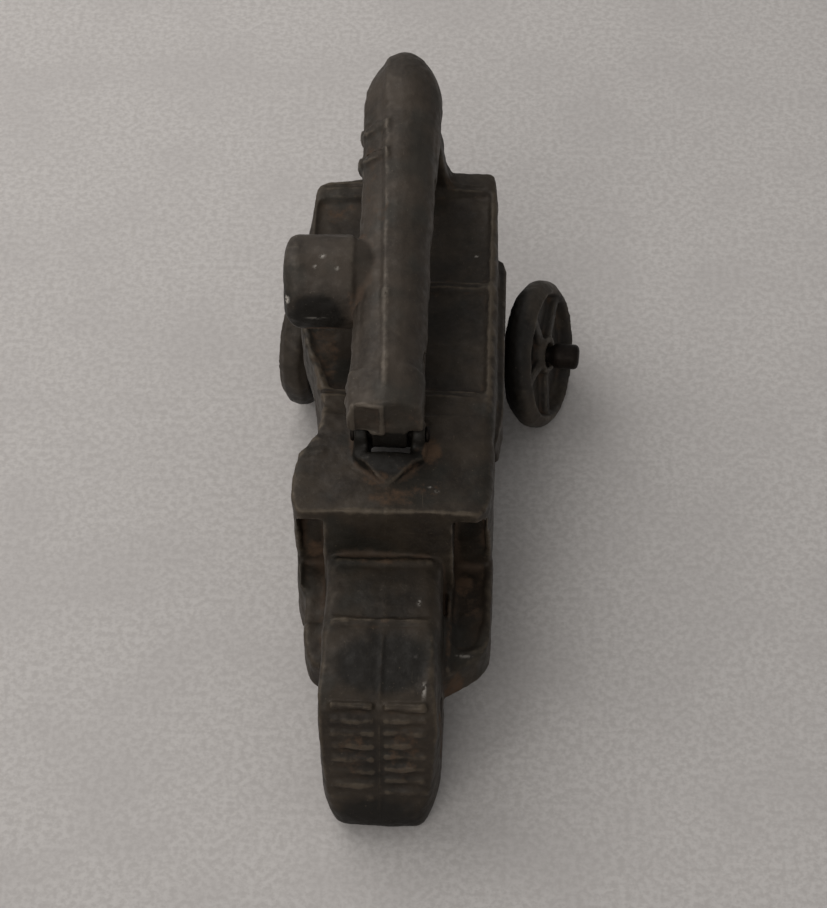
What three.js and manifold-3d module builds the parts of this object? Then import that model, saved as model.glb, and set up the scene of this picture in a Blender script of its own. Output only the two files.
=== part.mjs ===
// A cast toy truck: a hollow body in two riveted halves, a boom in two riveted halves that
// tips up on a cross pin, and two loose spoked wheels on one rear axle.
// Millimetres, +Z up, nose towards -Y, the vehicle's left is -X.
// While it is built, x = 0 is the seam plane, y = 0 the front of the grille, z = 0 the ground.

import * as THREE from 'three';
import { mergeVertices } from 'three/addons/utils/BufferGeometryUtils.js';
import Module from 'manifold-3d';

const wasm = await Module();
wasm.setup();

// ---------------------------------------------------------------- driving dimensions

const SEAM_GAP = 0.3; // between the left and the right castings
const CLEAR = 0.3; // between pieces that touch each other
const RUNNING_GAP = 0.08; // radial, between the pivot pin and what turns on it
const FAR = 60; // longer than any piece, for cutting tools
const WALL = 2.1; // thickness of the castings

const GROUND = 0;
const HULL_BOTTOM = 5;
const HOOD_HEIGHT = 20.4;
const ROOF_HEIGHT = 27.6;
const DECK_HEIGHT = 27;
const POD_HEIGHT = 13;

const NOSE_HALF_WIDTH = 6.9;
const HOOD_RIGHT = 6.3; // the hood is a little wider on the left
const HOOD_LEFT = -7;
const CAB_HALF_WIDTH = 11.6;
const DECK_HALF_WIDTH = 12;

const GRILLE_TOP = 3.2; // y of the grille's upper edge: it leans back
const RIB_RADIUS = 0.55;
const POD_FRONT = 14.4;
const POD_BOTTOM = 8.6;
const CAB_FRONT = 23.6;
const HOOD_LINES = [14.2, CAB_FRONT - 0.6]; // y of the raised lines across the hood
const CORNER_DEPTH = 5.4; // how far the roof reaches out over the open front corners of the cab
const CAB_REAR = 39.4;
const BODY_REAR = 84;
const DECK_LINES = [43.6, 62.4, 80.2]; // y of the raised lines across the load deck

const WHEEL_RADIUS = 9.7;
const WHEEL_WIDTH = 4;
const HUB_WIDTH = 3.2;
const HUB_RADIUS = 2.4;
const HUB_BORE = 1.55;
const SPOKES = 5;
const AXLE_RADIUS = 0.9;
const AXLE_Y = 69.4;
const AXLE_YAW = THREE.MathUtils.degToRad(5.9); // the loose axle has its right end forward
const FRONT_AXLE = { y: 20.6, z: 7.2 }; // the empty holes of an axle that is missing
const RIGHT_WHEEL_X = 17.6;
const LEFT_WHEEL_X = -12.3;
const RIGHT_WHEEL_AXIS = new THREE.Vector3(0.942, -0.257, 0.209).normalize();
const LEFT_WHEEL_AXIS = new THREE.Vector3(-0.975, 0.22, -0.03).normalize();

const BOOM_RADIUS = 4.5;
const BOOM_TIP_RADIUS = 4.9;
const BOOM_LENGTH = 55.7;
const BOOM_TILT = THREE.MathUtils.degToRad(9.9);
const BOOM_YAW = THREE.MathUtils.degToRad(0.5);
const BOOM_START = new THREE.Vector3(-0.5, 33.3, 32.7);
const BOOM_SEAM_YAW = THREE.MathUtils.degToRad(2); // its seam leans to the left of the boom's middle
const BOOM_SEAM_X = -0.35; // at the breech
const PIVOT = new THREE.Vector3(0, 35, 29.2);
const PIVOT_RADIUS = 0.7;
const LUG_RADIUS = 1.7;
const LUG_INNER = 2.5;
const LUG_OUTER = 4.3;
const TONGUE_HALF_WIDTH = 2.1;
const BOOM_BANDS = [37.6, 42]; // distances of the two bands from the breech end
const DRUM_RADIUS = 5.7;
const DRUM_END = -13.3;
const DRUM_ALONG = 21; // distance of the drum's axis from the breech end
const DRUM_DROP = 1.1; // its axis lies below the boom's

// Each cross rivet of the body: its place, and the sides that its flush, countersunk ends lie in.
const RIVET_RADIUS = 0.9;
const RIVET_HEAD = 1.5;
const BODY_RIVETS = [
  { name: 'nose_rivet', y: 8.8, z: 10.5, left: -6.9, right: 6.9 },
  { name: 'cab_rivet', y: 34.6, z: 16, left: -10.3, right: 11.7 },
  { name: 'deck_rivet', y: 77.4, z: 22.4, left: -11.7, right: 11.6 },
].map((rivet) => ({ ...rivet, radius: RIVET_RADIUS, head: RIVET_HEAD }));
const BOSS_RADIUS = 2.4;
const BOOM_RIVET_RADIUS = 0.6;
const BOOM_RIVET_HEAD = 1;
const BOOM_BOSS_RADIUS = 1.7;

// ---------------------------------------------------------------- materials

const bodyMetal = new THREE.MeshStandardMaterial({ color: 0x2a2723, roughness: 0.6, metalness: 0.55 });
const boomMetal = new THREE.MeshStandardMaterial({ color: 0x3a352f, roughness: 0.55, metalness: 0.6 });
const wheelMetal = new THREE.MeshStandardMaterial({ color: 0x2c2924, roughness: 0.65, metalness: 0.5 });
const axleSteel = new THREE.MeshStandardMaterial({ color: 0x16120f, roughness: 0.4, metalness: 0.8 });
const rivetSteel = new THREE.MeshStandardMaterial({ color: 0x2f2a25, roughness: 0.5, metalness: 0.7 });

// ---------------------------------------------------------------- solids and outlines

function toSolid(geometry) {
  const plain = geometry.clone();
  plain.deleteAttribute('normal');
  plain.deleteAttribute('uv');
  const merged = mergeVertices(plain, 1e-4);
  const mesh = new wasm.Mesh({
    numProp: 3,
    vertProperties: new Float32Array(merged.attributes.position.array),
    triVerts: new Uint32Array(merged.index.array),
  });
  mesh.merge();
  return new wasm.Manifold(mesh);
}

function toMesh(name, solid, material) {
  const data = solid.getMesh();
  const geometry = new THREE.BufferGeometry();
  geometry.setAttribute('position', new THREE.BufferAttribute(new Float32Array(data.vertProperties), 3));
  geometry.setIndex(new THREE.BufferAttribute(new Uint32Array(data.triVerts), 1));
  geometry.computeVertexNormals();
  const mesh = new THREE.Mesh(geometry, material);
  mesh.name = name;
  return mesh;
}

function box(x0, x1, y0, y1, z0, z1) {
  const geometry = new THREE.BoxGeometry(x1 - x0, y1 - y0, z1 - z0);
  geometry.translate((x0 + x1) / 2, (y0 + y1) / 2, (z0 + z1) / 2);
  return toSolid(geometry);
}

// A closed outline from [x, y, corner radius] points.
function outline(points) {
  const shape = new THREE.Shape();
  points.forEach(([x, y, radius], index) => {
    const corner = new THREE.Vector2(x, y);
    const before = points[(index + points.length - 1) % points.length];
    const after = points[(index + 1) % points.length];
    const start = new THREE.Vector2(before[0], before[1]).sub(corner);
    const end = new THREE.Vector2(after[0], after[1]).sub(corner);
    start.setLength(Math.min(radius, start.length() * 0.49)).add(corner);
    end.setLength(Math.min(radius, end.length() * 0.49)).add(corner);
    if (index === 0) {
      shape.moveTo(start.x, start.y);
    } else {
      shape.lineTo(start.x, start.y);
    }
    if (radius > 0) {
      shape.quadraticCurveTo(corner.x, corner.y, end.x, end.y);
    }
  });
  return shape;
}

const AXES = {
  X: new THREE.Matrix4().makeBasis(
    new THREE.Vector3(0, 1, 0), new THREE.Vector3(0, 0, 1), new THREE.Vector3(1, 0, 0)),
  Y: new THREE.Matrix4().makeBasis(
    new THREE.Vector3(1, 0, 0), new THREE.Vector3(0, 0, 1), new THREE.Vector3(0, -1, 0)),
  Z: new THREE.Matrix4(),
};

// An outline given as (y, z), (x, z) or (x, y) points, swept along X, Y or Z.
function sweep(axis, from, to, points, curveSegments = 4) {
  const settings = { depth: to - from, bevelEnabled: false, curveSegments };
  const geometry = new THREE.ExtrudeGeometry(outline(points), settings);
  geometry.applyMatrix4(AXES[axis]);
  if (axis === 'X') {
    geometry.translate(from, 0, 0);
  } else if (axis === 'Y') {
    geometry.translate(0, to, 0);
  } else {
    geometry.translate(0, 0, from);
  }
  return toSolid(geometry);
}

// A round bar along X.
function bar(x0, x1, y, z, radius, segments = 20) {
  const geometry = new THREE.CylinderGeometry(radius, radius, x1 - x0, segments);
  geometry.rotateZ(Math.PI / 2);
  geometry.translate((x0 + x1) / 2, y, z);
  return toSolid(geometry);
}

// A turned piece along X, from [radius, x] points that start and end on the axis, or where they began.
function turned(points, segments) {
  const profile = points.map(([radius, along]) => new THREE.Vector2(radius, along));
  const geometry = new THREE.LatheGeometry(profile, segments);
  geometry.rotateZ(-Math.PI / 2);
  return geometry;
}

function countersunk({ y, z, left, right, radius, head }, ends) {
  const flare = head - radius;
  const geometry = turned([
    ...ends.left,
    [head, left],
    [radius, left + flare],
    [radius, right - flare],
    [head, right],
    ...ends.right,
  ], 14);
  geometry.translate(0, y, z);
  return toSolid(geometry);
}

// A cross rivet whose flush ends are peened out into countersinks.
function rivetSolid(rivet) {
  return countersunk(rivet, { left: [[0, rivet.left]], right: [[0, rivet.right]] });
}

// The hole for a rivet, with room all round it and open at both ends.
function rivetHole(rivet) {
  const { left, right } = rivet;
  const head = rivet.head + CLEAR;
  const past = 2;
  return countersunk({ ...rivet, radius: rivet.radius + CLEAR, head }, {
    left: [[0, left - past], [head, left - past]],
    right: [[head, right + past], [0, right + past]],
  });
}

function mirrored(points) {
  const other = points.map(([x, y, radius]) => [-x, y, radius]).reverse();
  return [...points, ...other];
}

function joined(solids) {
  return solids.reduce((sum, solid) => sum.add(solid));
}

function leftHalf(solid) {
  return solid.intersect(box(-FAR, -SEAM_GAP / 2, -FAR, 2 * FAR, -FAR, FAR));
}

function rightHalf(solid) {
  return solid.intersect(box(SEAM_GAP / 2, FAR, -FAR, 2 * FAR, -FAR, FAR));
}

// One side of the boom's own seam: -1 is its left half, 1 its right half.
function boomHalf(solid, side) {
  const geometry = new THREE.BoxGeometry(FAR, 4 * FAR, 4 * FAR);
  geometry.translate(side * (FAR + SEAM_GAP) / 2, 0, 0);
  geometry.rotateZ(BOOM_SEAM_YAW);
  geometry.translate(BOOM_SEAM_X, BOOM_START.y, 0);
  return solid.intersect(toSolid(geometry));
}

// ---------------------------------------------------------------- body castings

function noseAndHood() {
  const side = sweep('X', -FAR, FAR, [
    [-0.6, GROUND, 1.6],
    [9, GROUND, 1],
    [13, HULL_BOTTOM, 1],
    [CAB_FRONT + 4, HULL_BOTTOM, 0],
    [CAB_FRONT + 4, HOOD_HEIGHT, 0],
    [GRILLE_TOP, HOOD_HEIGHT - 1.1, 2.4],
    [-0.5, 5.8, 0.8],
    [-1.6, 3.4, 1.4],
  ]);
  const plan = sweep('Z', -1, FAR, [
    [0, -1.7, 0],
    [5.2, -1.5, 3],
    [NOSE_HALF_WIDTH - 0.1, 2.4, 3.4],
    [NOSE_HALF_WIDTH + 0.1, 9, 2],
    [HOOD_RIGHT, CAB_FRONT + 4, 0],
    [HOOD_LEFT - 0.2, CAB_FRONT + 4, 0],
    [-NOSE_HALF_WIDTH - 0.2, 9, 2],
    [-NOSE_HALF_WIDTH, 1.6, 3.4],
    [-5.4, -1.5, 3],
  ], 6);
  const front = sweep('Y', -2, FAR, [
    [6.7, GROUND, 3.4],
    [NOSE_HALF_WIDTH + 0.1, 9, 2],
    [HOOD_RIGHT, HOOD_HEIGHT - 0.6, 1.6],
    [0, HOOD_HEIGHT, 4],
    [HOOD_LEFT, HOOD_HEIGHT - 0.5, 1.4],
    [-NOSE_HALF_WIDTH - 0.2, 9, 2],
    [-6.4, GROUND, 3.8],
  ], 6);
  const lines = HOOD_LINES.map((y) => (
    sweep('X', HOOD_LEFT + 0.9, HOOD_RIGHT - 0.9, [
      [y - 0.6, HOOD_HEIGHT - 1.6, 0],
      [y + 0.6, HOOD_HEIGHT - 1.6, 0],
      [y + 0.3, HOOD_HEIGHT + 0.05, 0.2],
      [y - 0.3, HOOD_HEIGHT + 0.05, 0.2],
    ], 2)
  ));
  return joined([side.intersect(plan).intersect(front), ...lines]);
}

// Horizontal louvres, in two columns that don't line up across the seam.
function grilleRibs() {
  const columns = [
    { x0: -5.6, x1: -0.6, lowest: 6.1, pitch: 1.8, count: 8 },
    { x0: 0.5, x1: 5.3, lowest: 6.9, pitch: 1.68, count: 8 },
  ];
  const ribs = [];
  for (const { x0, x1, lowest, pitch, count } of columns) {
    for (let index = 0; index < count; index += 1) {
      const z = lowest + index * pitch;
      const y = -0.5 + (GRILLE_TOP + 0.5) * (z - 5.8) / (HOOD_HEIGHT - 6.9);
      const rib = new THREE.CylinderGeometry(RIB_RADIUS, RIB_RADIUS, x1 - x0, 8);
      rib.rotateZ(Math.PI / 2);
      rib.translate((x0 + x1) / 2, y + 0.15, z);
      ribs.push(toSolid(rib));
    }
  }
  return joined(ribs);
}

function cabAndDeck() {
  const side = sweep('X', -FAR, FAR, [
    [CAB_FRONT, HULL_BOTTOM, 0],
    [BODY_REAR - 1, HULL_BOTTOM, 1.5],
    [BODY_REAR, DECK_HEIGHT, 1.6],
    [CAB_REAR + 0.8, DECK_HEIGHT, 0],
    [CAB_REAR, ROOF_HEIGHT, 0.4],
    [CAB_FRONT + 0.8, ROOF_HEIGHT, 1],
  ]);
  const plan = sweep('Z', -1, FAR, [
    [-10.2, CAB_FRONT, 2.4],
    [10.6, CAB_FRONT, 2.4],
    [CAB_HALF_WIDTH + 0.6, CAB_FRONT + 4, 3],
    [CAB_HALF_WIDTH + 0.6, CAB_REAR, 1],
    [DECK_HALF_WIDTH + 0.3, 46, 3],
    [DECK_HALF_WIDTH, 74, 5],
    [11.6, BODY_REAR, 2.2],
    [5, BODY_REAR, 0],
    [-11.6, BODY_REAR - 3.2, 1.6],
    [-DECK_HALF_WIDTH - 0.2, 72, 5],
    [-DECK_HALF_WIDTH, 54.5, 3],
    [-8.3, 42.4, 3],
    [-8.7, 37, 2.4],
    [-11.3, 32.6, 2.5],
    [-11.2, 27, 2],
  ]);
  const front = sweep('Y', 0, 2 * FAR, mirrored([
    [DECK_HALF_WIDTH, HULL_BOTTOM, 0.6],
    [DECK_HALF_WIDTH + 0.4, 19, 1],
    [DECK_HALF_WIDTH + 0.2, ROOF_HEIGHT - 0.5, 1.8],
    [0, ROOF_HEIGHT, 0],
  ]));
  return side.intersect(plan).intersect(front);
}

// The load floor lies a little below the rounded side rims and is crossed by raised lines.
function deckRecess() {
  const floor = DECK_HEIGHT - 0.6;
  const pans = [];
  for (let index = 0; index < DECK_LINES.length - 1; index += 1) {
    const y0 = DECK_LINES[index] + 0.6;
    const y1 = DECK_LINES[index + 1] - 0.6;
    pans.push(sweep('Z', floor, FAR, [
      [-11.2, Math.max(y0, 54.8), 0.6],
      [-7.6, y0, 0.6],
      [11, y0, 0.6],
      [11, y1, 0.6],
      [-11.2, Math.min(y1, 77.6), 0.6],
    ], 2));
  }
  return joined(pans);
}

// A pod on each side of the hood; the left one is narrower. The right one has a dished top.
function pods() {
  const back = CAB_FRONT + CORNER_DEPTH + 1;
  const outer = CAB_HALF_WIDTH + 0.7;
  const right = sweep('Z', POD_BOTTOM, POD_HEIGHT, [
    [5, 11.6, 0],
    [7.6, 12, 0.6],
    [11, POD_FRONT + 0.4, 1],
    [outer, 17, 2],
    [outer, back, 0],
    [5, back, 0],
  ]);
  const ridge = sweep('Y', 12.2, back, [
    [6.7, POD_HEIGHT - 1, 0],
    [8.4, POD_HEIGHT - 1, 0],
    [7.4, POD_HEIGHT + 0.9, 0.2],
    [7.1, POD_HEIGHT + 0.9, 0.2],
  ], 2);
  const groove = sweep('Y', 10, back - 2, [
    [6.2, POD_HEIGHT - 1.4, 0],
    [6.75, POD_HEIGHT - 1.4, 0],
    [6.95, POD_HEIGHT + 2, 0],
    [6.2, POD_HEIGHT + 2, 0],
  ]);
  const pan = sweep('Z', POD_HEIGHT - 0.5, FAR, [
    [8.2, POD_FRONT + 1.2, 0.6],
    [10.6, POD_FRONT + 1.8, 1],
    [11.2, 20, 1],
    [11.3, back, 0],
    [8.2, back, 0],
  ], 3);
  const left = sweep('Z', POD_BOTTOM, POD_HEIGHT, [
    [-5, back, 0],
    [-10.4, back, 0],
    [-9.7, 17, 2],
    [-8.9, POD_FRONT - 0.6, 1.2],
    [-7, 12.4, 0.6],
    [-5, 12, 0],
  ]);
  return joined([right.add(ridge).subtract(pan).subtract(groove), left]);
}

// A narrow ledge along each side, which also closes the wheel arches outside. The left one is
// shorter and shallower, because the left wheel stands under it.
function ledges() {
  const top = 22.4;
  const inside = DECK_HALF_WIDTH - 1.8;
  const side = (front, low) => [
    [front, low, 0.6],
    [72.6, low, 0.6],
    [72.2, top, 0.8],
    [front, top, 0.8],
  ];
  const right = sweep('X', inside, DECK_HALF_WIDTH + 1.2, side(CAB_REAR + 0.8, 18.2), 3);
  const left = sweep('X', -DECK_HALF_WIDTH - 0.6, -inside, side(61.5, 20.6), 3);
  return joined([right, left]);
}

// On the left, the body below the deck's edge is set in ahead of the wheel.
function waist() {
  return sweep('Z', -1, 20.4, [
    [-FAR, 43, 0],
    [-9.4, 46.5, 3],
    [-9.4, 60, 0],
    [-FAR, 60, 0],
  ]);
}

function wheelWells() {
  const inner = 7.5;
  const radius = WHEEL_RADIUS + 1.7;
  return joined([[inner, FAR, RIGHT_WHEEL_X], [-FAR, -inner, LEFT_WHEEL_X]].map(([x0, x1, wheelX]) => {
    const { y, z } = axlePoint(wheelX);
    return bar(x0, x1, y, z, radius, 28).add(box(x0, x1, y - radius, y + radius, -1, z));
  }));
}

function hollow() {
  const hood = sweep('Z', -1, HOOD_HEIGHT - WALL - 0.6, mirrored([
    [3.6, 5.6, 1.2],
    [NOSE_HALF_WIDTH - WALL - 0.4, 7.4, 0.8],
    [NOSE_HALF_WIDTH - WALL - 0.6, CAB_FRONT + 4, 0],
  ]), 2);
  const cornerBack = CAB_FRONT + CORNER_DEPTH + 1.9;
  const main = sweep('Z', -1, DECK_HEIGHT - 0.6 - WALL, [
    [-4.6, CAB_FRONT + WALL, 0],
    [4.6, CAB_FRONT + WALL, 0],
    [4.6, cornerBack, 0],
    [9.4, cornerBack, 0.8],
    [9.6, CAB_REAR, 0],
    [9.8, 51.4, 0.8],
    [5.4, 54, 0.8],
    [5.4, 80.4, 0.6],
    [9, 81.6, 0],
    [4, 81.6, 0],
    [-8.6, 78.9, 0.6],
    [-5.4, 76, 0.6],
    [-5.4, 44, 0.8],
    [-6.6, 36, 1],
    [-8.6, 33, 0.8],
    [-8.6, cornerBack, 0.8],
    [-4.6, cornerBack, 0],
  ], 2);
  return hood.add(main);
}

// Under the front corners of the roof the cab is open, down to the tops of the pods. Outside of
// each opening a side panel with a slanted front edge reaches down from the roof.
function cabCorners() {
  const back = CAB_FRONT + CORNER_DEPTH;
  const ceiling = ROOF_HEIGHT - 2;
  const openings = [[7.7, 11.4, 1], [-10.4, -7.4, 0.6]].map(([x0, x1, round]) => (
    sweep('Y', CAB_FRONT - 4, back, [
      [x0, POD_HEIGHT - 0.6, 0],
      [x1, POD_HEIGHT - 0.6, 0],
      [x1, ceiling, x0 > 0 ? round : 0],
      [x0, ceiling, x0 > 0 ? 0 : round],
    ], 3)
  ));
  const panelEdge = [
    [CAB_FRONT - 4, POD_HEIGHT, 0],
    [back, POD_HEIGHT, 0],
    [back - 1.6, ceiling - 5, 2],
    [CAB_FRONT + 0.6, ceiling + 0.4, 0],
    [CAB_FRONT - 4, ceiling + 0.4, 0],
  ];
  const right = sweep('X', 10.6, FAR, panelEdge, 3);
  const left = sweep('X', -FAR, -9.4, panelEdge, 3);
  return joined([...openings, right, left]);
}

function rivetBosses() {
  const inset = 1;
  return joined(BODY_RIVETS.map(({ y, z, left, right }) => (
    bar(left + inset, right - inset, y, z, BOSS_RADIUS, 12)
  )));
}

// Two lugs on a low plinth hold the boom's pin, over a slot that the tongue turns in.
function lugsAndPlinth() {
  const prow = sweep('Z', ROOF_HEIGHT - 1, FAR, mirrored([
    [0.3, 28.2, 0.6],
    [4.3, 32.2, 1],
    [4.3, 38, 1.4],
    [0, 38.6, 0],
  ]), 3);
  const slope = sweep('X', -FAR, FAR, [
    [27, ROOF_HEIGHT - 1, 0],
    [40, ROOF_HEIGHT - 1, 0],
    [39, ROOF_HEIGHT + 0.8, 0],
    [32.4, PIVOT.z + 0.2, 0.8],
    [28, ROOF_HEIGHT + 0.1, 0],
  ]);
  const facets = sweep('Y', 0, FAR, mirrored([
    [5, ROOF_HEIGHT - 2, 0],
    [5, ROOF_HEIGHT + 0.3, 0],
    [0, ROOF_HEIGHT + 2.4, 0],
  ]));
  const plinth = prow.intersect(slope).intersect(facets);
  const lugs = [-1, 1].map((side) => {
    const x0 = side < 0 ? -LUG_OUTER : LUG_INNER;
    const x1 = side < 0 ? -LUG_INNER : LUG_OUTER;
    const foot = box(x0, x1, PIVOT.y - LUG_RADIUS, PIVOT.y + LUG_RADIUS, ROOF_HEIGHT - 1, PIVOT.z);
    return bar(x0, x1, PIVOT.y, PIVOT.z, LUG_RADIUS, 20).add(foot);
  });
  return joined([plinth, ...lugs]);
}

function tongueSlot() {
  const reach = LUG_RADIUS + 0.4;
  const neckRoom = 0.7;
  const half = LUG_INNER - 0.1;
  return box(-half, half, PIVOT.y - reach - neckRoom, PIVOT.y + reach, ROOF_HEIGHT - 6, FAR);
}

// The strut that the boom lies on stands at the rear, on the right casting.
function rearStrut() {
  const front = sweep('Y', 79.6, BODY_REAR - 0.4, [
    [0.3, DECK_HEIGHT - 1.4, 0],
    [6.6, DECK_HEIGHT - 1.4, 0],
    [5.2, DECK_HEIGHT + 1.4, 1.6],
    [4.2, 37, 0.8],
    [4, 42, 0],
    [0.3, 42, 0],
  ], 3);
  const side = sweep('X', 0, FAR, [
    [79.6, DECK_HEIGHT - 2, 0],
    [BODY_REAR - 0.4, DECK_HEIGHT - 2, 0],
    [BODY_REAR - 0.4, DECK_HEIGHT, 1],
    [BODY_REAR - 1.4, 42, 0],
    [80.8, 42, 0],
  ], 3);
  return front.intersect(side).subtract(boomEnvelope(CLEAR));
}

function axleHoles() {
  const slot = AXLE_RADIUS + 0.4 + 9 * Math.tan(AXLE_YAW);
  const height = AXLE_RADIUS + 0.4;
  const rear = sweep('X', -FAR, FAR, [
    [AXLE_Y - slot, AXLE_HEIGHT - height, 1.2],
    [AXLE_Y + slot, AXLE_HEIGHT - height, 1.2],
    [AXLE_Y + slot, AXLE_HEIGHT + height, 1.2],
    [AXLE_Y - slot, AXLE_HEIGHT + height, 1.2],
  ]);
  return rear.add(bar(-FAR, FAR, FRONT_AXLE.y, FRONT_AXLE.z, AXLE_RADIUS + 0.3, 12));
}

function rivetHoles() {
  return joined(BODY_RIVETS.map(rivetHole));
}

function bodyCasting() {
  const hull = cabAndDeck().subtract(deckRecess()).subtract(waist());
  const outside = joined([noseAndHood(), grilleRibs(), hull, pods()]).subtract(wheelWells()).add(ledges());
  const shell = outside.subtract(hollow()).subtract(cabCorners());
  const withBosses = shell.add(rivetBosses().intersect(outside));
  return withBosses
    .add(lugsAndPlinth())
    .add(rearStrut())
    .subtract(tongueSlot())
    .subtract(axleHoles())
    .subtract(rivetHoles())
    .subtract(bar(-FAR, FAR, PIVOT.y, PIVOT.z, PIVOT_RADIUS + RUNNING_GAP, 20));
}

// ---------------------------------------------------------------- boom castings

function placeBoom(geometry) {
  geometry.rotateX(BOOM_TILT);
  geometry.rotateZ(-BOOM_YAW);
  geometry.translate(BOOM_START.x, BOOM_START.y, BOOM_START.z);
  return toSolid(geometry);
}

// The round outside of the boom, grown by a margin, from the breech end to the blunt tip.
function boomEnvelope(margin) {
  const radius = BOOM_RADIUS + margin;
  const tipRadius = BOOM_TIP_RADIUS + margin;
  const tip = 9;
  const steps = 7;
  const profile = [
    [0, 0],
    [radius - 1, 0],
    [radius, 1.2],
    [radius - 0.1, BOOM_LENGTH / 2],
    [tipRadius, BOOM_LENGTH - tip],
  ];
  for (let step = 1; step < steps; step += 1) {
    const turn = (step / steps) * Math.PI / 2;
    profile.push([tipRadius * Math.cos(turn) ** 1.3, BOOM_LENGTH - tip + tip * Math.sin(turn)]);
  }
  profile.push([0, BOOM_LENGTH + margin]);
  const geometry = new THREE.LatheGeometry(profile.map(([r, s]) => new THREE.Vector2(r, s)), 24);
  return placeBoom(geometry);
}

function breechBlock() {
  const geometry = new THREE.ExtrudeGeometry(outline([
    [-BOOM_RADIUS, -2.6, 0.8],
    [BOOM_RADIUS, -2.6, 0.8],
    [BOOM_RADIUS, 3, 1.6],
    [1.6, 4.3, 0.8],
    [-1.6, 4.3, 0.8],
    [-BOOM_RADIUS, 3, 1.6],
  ]), { depth: 5.6, bevelEnabled: false, curveSegments: 3 });
  geometry.applyMatrix4(AXES.Y);
  geometry.translate(0, 5.6, 0);
  return placeBoom(geometry);
}

function boomBands() {
  const radius = BOOM_TIP_RADIUS + 0.3;
  const lean = 0.22;
  return joined(BOOM_BANDS.map((along) => {
    const geometry = new THREE.CylinderGeometry(radius, radius, 1.3, 24);
    geometry.rotateX(lean);
    geometry.translate(0, along, 0);
    return placeBoom(geometry);
  }));
}

function boomPoint(along) {
  return new THREE.Vector3(0, along, 0)
    .applyAxisAngle(new THREE.Vector3(1, 0, 0), BOOM_TILT)
    .applyAxisAngle(new THREE.Vector3(0, 0, 1), -BOOM_YAW)
    .add(BOOM_START);
}

// A round drum on the left side, flattened below, with a rounded outer end.
function sideDrum() {
  const centre = boomPoint(DRUM_ALONG);
  const length = -DRUM_END;
  const profile = [
    [0, -length],
    [DRUM_RADIUS - 1.3, -length],
    [DRUM_RADIUS - 0.4, -length + 0.4],
    [DRUM_RADIUS, -length + 1.3],
    [DRUM_RADIUS, -5],
    [DRUM_RADIUS - 1, -1.4],
    [0, -1.4],
  ];
  const middle = centre.z - DRUM_DROP;
  const round = turned(profile, 28);
  round.translate(0, centre.y, middle);
  const flat = sweep('Y', centre.y - 8, centre.y + 8, [
    [DRUM_END - 1, middle - 0.6, 0],
    [DRUM_END + 0.1, middle - 1.2, 0],
    [DRUM_END + 1.9, middle - 4.3, 0.4],
    [0, middle - 4.3, 0],
    [0, middle - 8, 0],
    [DRUM_END - 1, middle - 8, 0],
  ]);
  return toSolid(round).subtract(flat);
}

function tongue() {
  const neck = box(
    -TONGUE_HALF_WIDTH, TONGUE_HALF_WIDTH,
    PIVOT.y - LUG_RADIUS, PIVOT.y + LUG_RADIUS,
    PIVOT.z, BOOM_START.z);
  return neck.add(bar(-TONGUE_HALF_WIDTH, TONGUE_HALF_WIDTH, PIVOT.y, PIVOT.z, LUG_RADIUS, 20));
}

// Room for the lugs on both sides of the tongue, at every angle of the boom.
function lugRoom() {
  const inner = TONGUE_HALF_WIDTH;
  const radius = LUG_RADIUS + CLEAR;
  return joined([-1, 1].map((side) => {
    const x0 = side < 0 ? -FAR : inner;
    const x1 = side < 0 ? -inner : FAR;
    const around = bar(x0, x1, PIVOT.y, PIVOT.z, radius, 20);
    const ahead = box(x0, x1, 20, PIVOT.y, 10, PIVOT.z + radius);
    const below = box(x0, x1, 20, PIVOT.y + radius, 10, PIVOT.z);
    return joined([around, ahead, below]);
  }));
}

function boomCore() {
  const radius = BOOM_RADIUS - 1.7;
  const geometry = new THREE.CylinderGeometry(radius, radius, 36, 12);
  geometry.translate(0, 28, 0);
  return placeBoom(geometry);
}

// Each boom rivet crosses the boom at its widest, so its ends lie flush with the round sides.
const BOOM_RIVETS = [
  { name: 'boom_rivet_front', along: 8.6 },
  { name: 'boom_rivet_rear', along: 34.5 },
].map(({ name, along }) => {
  const { x, y, z } = boomPoint(along);
  const reach = BOOM_RADIUS - 0.15;
  return {
    name, y, z, left: x - reach, right: x + reach, radius: BOOM_RIVET_RADIUS, head: BOOM_RIVET_HEAD,
  };
});

function boomRivetBosses() {
  const inset = 1;
  return joined(BOOM_RIVETS.map(({ y, z, left, right }) => (
    bar(left + inset, right - inset, y, z, BOOM_BOSS_RADIUS, 12)
  )));
}

function boomCasting() {
  const outside = joined([boomEnvelope(0), breechBlock()]).subtract(lugRoom()).add(tongue());
  const shell = outside.subtract(boomCore()).add(boomRivetBosses());
  return shell
    .subtract(joined(BOOM_RIVETS.map(rivetHole)))
    .subtract(bar(-FAR, FAR, PIVOT.y, PIVOT.z, PIVOT_RADIUS + RUNNING_GAP, 20));
}

// ---------------------------------------------------------------- wheels, axle, pins

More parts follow.
